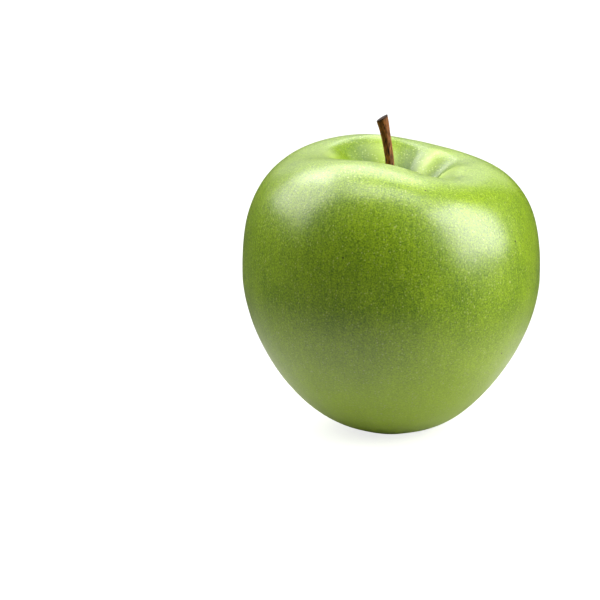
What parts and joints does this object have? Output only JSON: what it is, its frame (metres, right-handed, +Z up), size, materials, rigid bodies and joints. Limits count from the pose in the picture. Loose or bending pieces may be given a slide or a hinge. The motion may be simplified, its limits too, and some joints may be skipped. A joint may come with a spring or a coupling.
{
  "type": "apple",
  "caption": "Whole green apple standing stem end up on its low base lobes, with a leaning woody stem and a dried calyx in its base.",
  "frame": {"origin": "under the middle of the fruit, on the surface that it stands on", "axes": "+Z up along the fruit's axis, from the calyx end to the stem end; the stem leans towards -X"},
  "size_m": [0.08, 0.08, 0.0854],
  "materials": {
    "skin": "waxy green fruit skin, satin gloss, with fine pale lenticels",
    "bark": "matte reddish-brown bark, darker at the cut tip",
    "dried_sepal": "dry, matte, grey-brown and downy",
    "dried_stamen": "dry, matte, dark brown",
    "dried_style": "dry, matte, brown"
  },
  "bodies": {
    "root": {"fruit": "skin", "stem": "bark", "sepal_1": "dried_sepal", "sepal_2": "dried_sepal", "sepal_3": "dried_sepal", "sepal_4": "dried_sepal", "sepal_5": "dried_sepal", "stamen_01": "dried_stamen", "stamen_02": "dried_stamen", "stamen_03": "dried_stamen", "stamen_04": "dried_stamen", "stamen_05": "dried_stamen", "stamen_06": "dried_stamen", "stamen_07": "dried_stamen", "stamen_08": "dried_stamen", "stamen_09": "dried_stamen", "stamen_10": "dried_stamen", "stamen_11": "dried_stamen", "stamen_12": "dried_stamen", "stamen_13": "dried_stamen", "stamen_14": "dried_stamen", "stamen_15": "dried_stamen", "style_1": "dried_style", "style_2": "dried_style", "style_3": "dried_style", "style_4": "dried_style", "style_5": "dried_style"}
  },
  "joints": []
}
